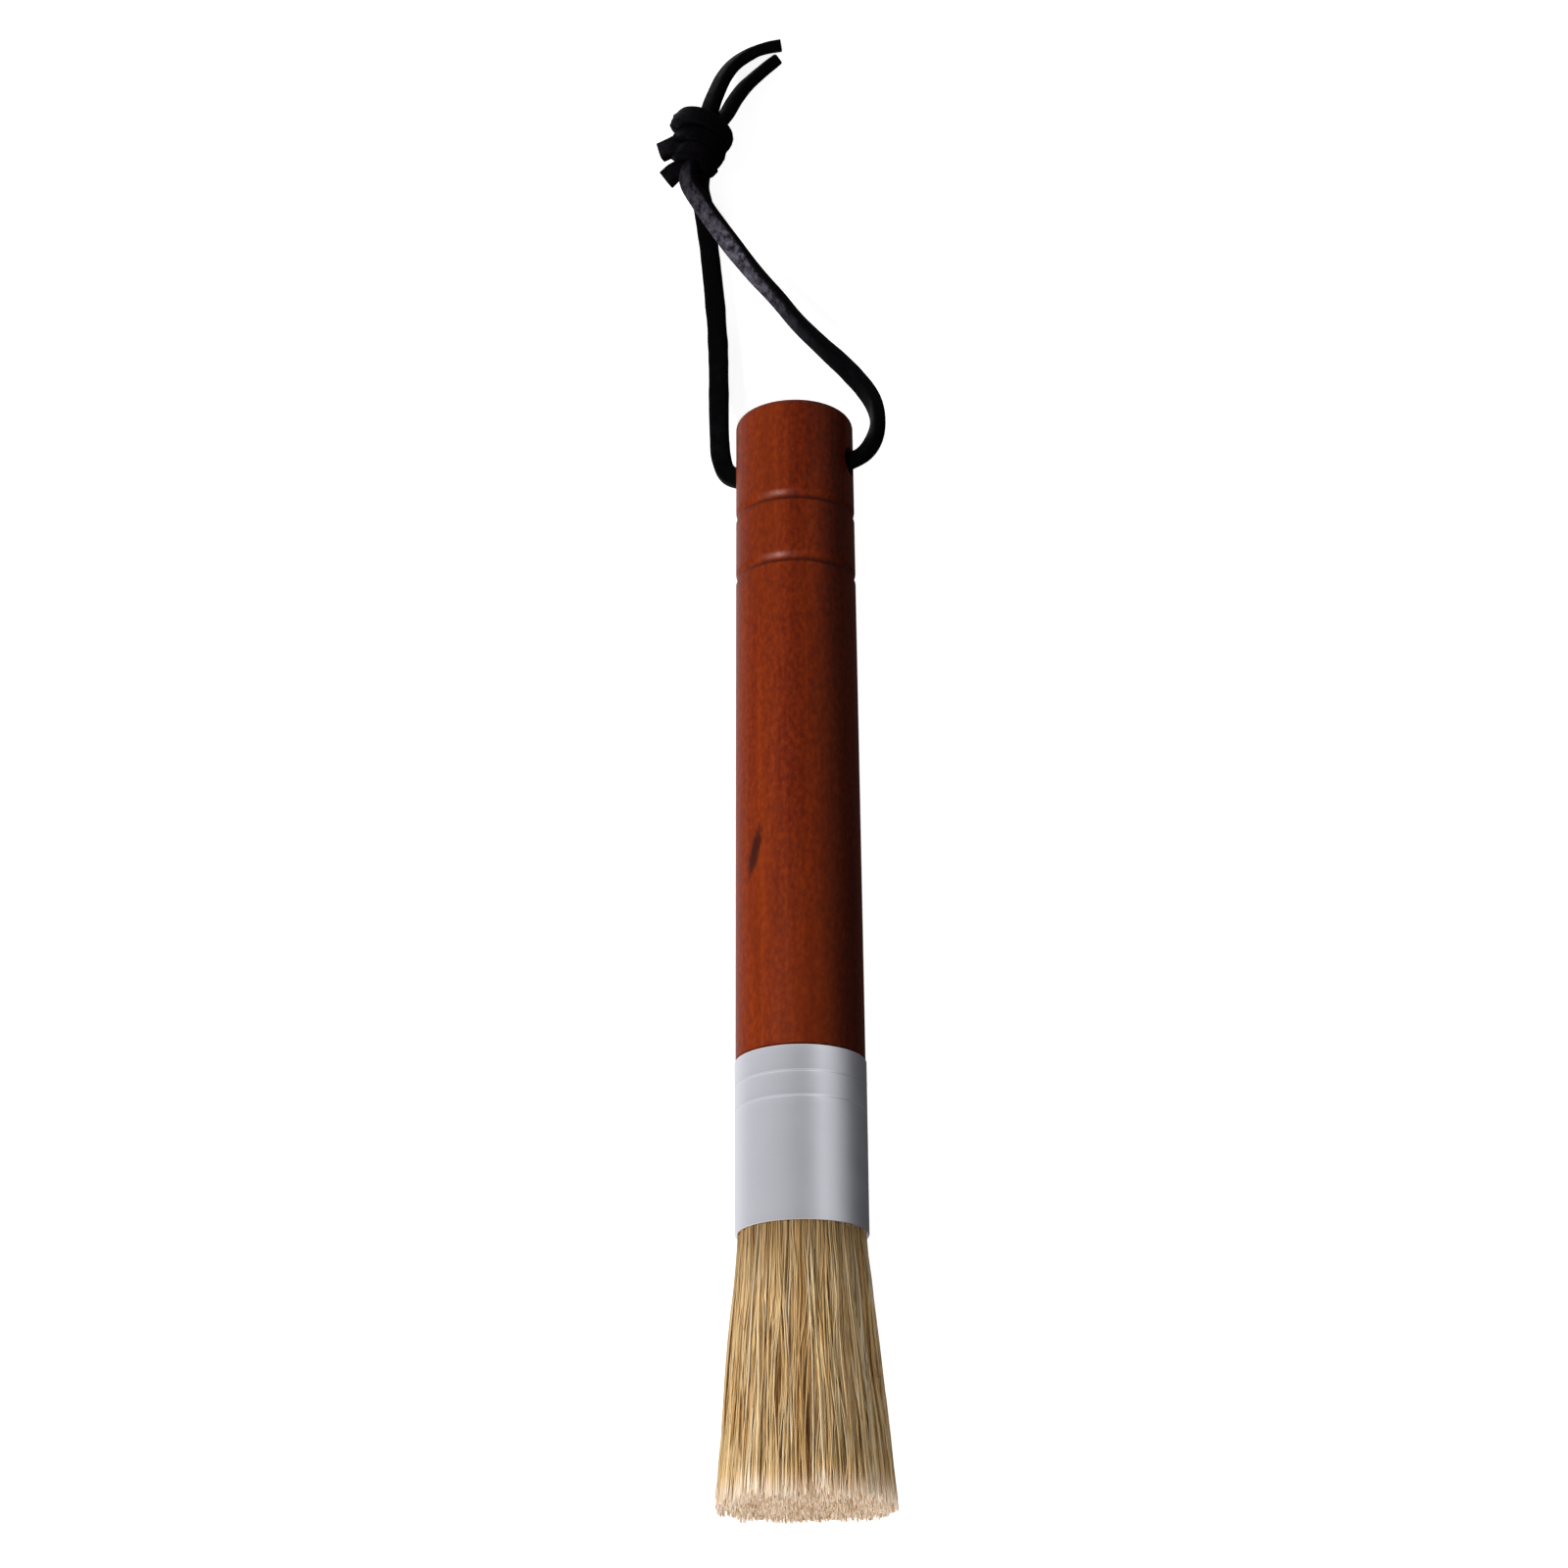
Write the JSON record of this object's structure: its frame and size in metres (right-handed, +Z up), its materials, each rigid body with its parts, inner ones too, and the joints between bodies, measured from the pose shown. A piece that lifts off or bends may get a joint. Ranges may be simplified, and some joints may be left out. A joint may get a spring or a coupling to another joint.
{
  "type": "pastry brush",
  "caption": "Round pastry brush with a turned wooden handle, an aluminium ferrule, a flared natural bristle tuft and a knotted leather hanging lace.",
  "frame": {"origin": "middle of the brush's underside as it lies on a flat surface, at the middle of its length, lace left out", "axes": "+Y along the brush towards the end of the handle and the lace, -Y towards the bristle tips, +Z up from the surface"},
  "size_m": [0.0399, 0.2625, 0.0238],
  "materials": {
    "lacquered_wood": "stained reddish brown, clear satin lacquer",
    "satin_aluminium": "satin",
    "cast_resin": "cast, amber",
    "natural_bristle": "natural pale boar bristle",
    "black_leather": "dyed black, slightly polished"
  },
  "bodies": {
    "brush": {"handle": "lacquered_wood", "ferrule": "satin_aluminium", "resin_plug": "cast_resin", "bristle_tuft": "natural_bristle"},
    "lanyard": {"lace_loop": "black_leather", "knot_binding": "black_leather", "lace_tail_long": "black_leather", "lace_tail_short": "black_leather"}
  },
  "joints": [
    {"name": "lanyard_swing", "type": "hinge", "parent": "brush", "child": "lanyard", "pos_m": [0, 0.0814, 0.0102], "axis": [0.9613, 0, 0.2756], "range_deg": [-140, 150]}
  ]
}
